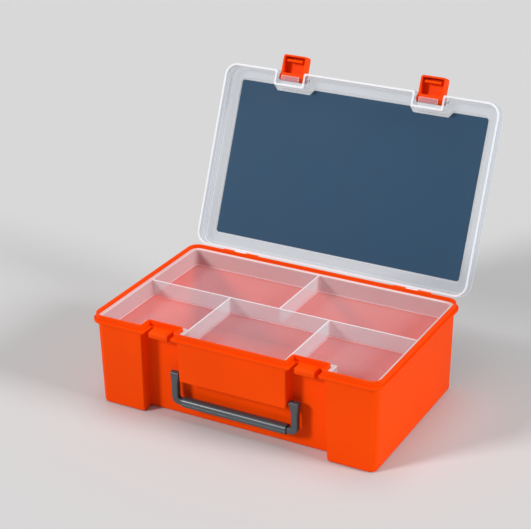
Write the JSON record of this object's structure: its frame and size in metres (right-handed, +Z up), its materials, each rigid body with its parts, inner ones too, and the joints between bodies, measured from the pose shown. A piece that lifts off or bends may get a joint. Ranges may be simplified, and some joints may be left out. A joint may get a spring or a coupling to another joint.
{
  "type": "toolbox",
  "caption": "Moulded plastic toolbox with a clear hinged lid, snap latches on the lid, a fold-down carrying handle in a front recess and a clear divided lift-out tray.",
  "frame": {"origin": "on the floor, under the middle of the base's plan without its lid hinge", "axes": "+X to the right along the length, +Y to the back where the lid is hinged, +Z up"},
  "size_m": [0.33, 0.3159, 0.3078],
  "materials": {
    "orange_plastic": "moulded, satin",
    "clear_plastic": "frosted, translucent",
    "tinted_sheet": "smooth sheet",
    "grey_plastic": "moulded, satin",
    "steel": "drawn wire"
  },
  "bodies": {
    "base": {"base_shell": "orange_plastic", "lid_hinge_pin_left": "steel", "lid_hinge_pin_right": "steel", "handle_pivot_left": "steel", "handle_pivot_right": "steel"},
    "lid": {"lid_shell": "clear_plastic", "lid_panel": "tinted_sheet", "latch_pin_left": "steel", "latch_pin_right": "steel"},
    "latch_left": {"latch_left": "orange_plastic"},
    "latch_right": {"latch_right": "orange_plastic"},
    "handle": {"handle_bail": "grey_plastic", "handle_grip": "grey_plastic"},
    "tray": {"tray": "clear_plastic"}
  },
  "joints": [
    {"name": "lid_hinge", "type": "hinge", "parent": "base", "child": "lid", "pos_m": [0, 0.1075, 0.098], "axis": [-1, 0, 0], "range_deg": [-113, 0]},
    {"name": "latch_left_hinge", "type": "hinge", "parent": "lid", "child": "latch_left", "pos_m": [-0.0833, 0.1968, 0.2828], "axis": [-1, 0, 0], "range_deg": [-90, 0]},
    {"name": "latch_right_hinge", "type": "hinge", "parent": "lid", "child": "latch_right", "pos_m": [0.0833, 0.1968, 0.2828], "axis": [-1, 0, 0], "range_deg": [-90, 0]},
    {"name": "handle_swing", "type": "hinge", "parent": "base", "child": "handle", "pos_m": [0, -0.0925, 0.0516], "axis": [-1, 0, 0], "range_deg": [0, 120]},
    {"name": "tray_lift", "type": "slide", "parent": "base", "child": "tray", "axis": [0, 0, 1], "range_m": [0, 0.09]}
  ]
}
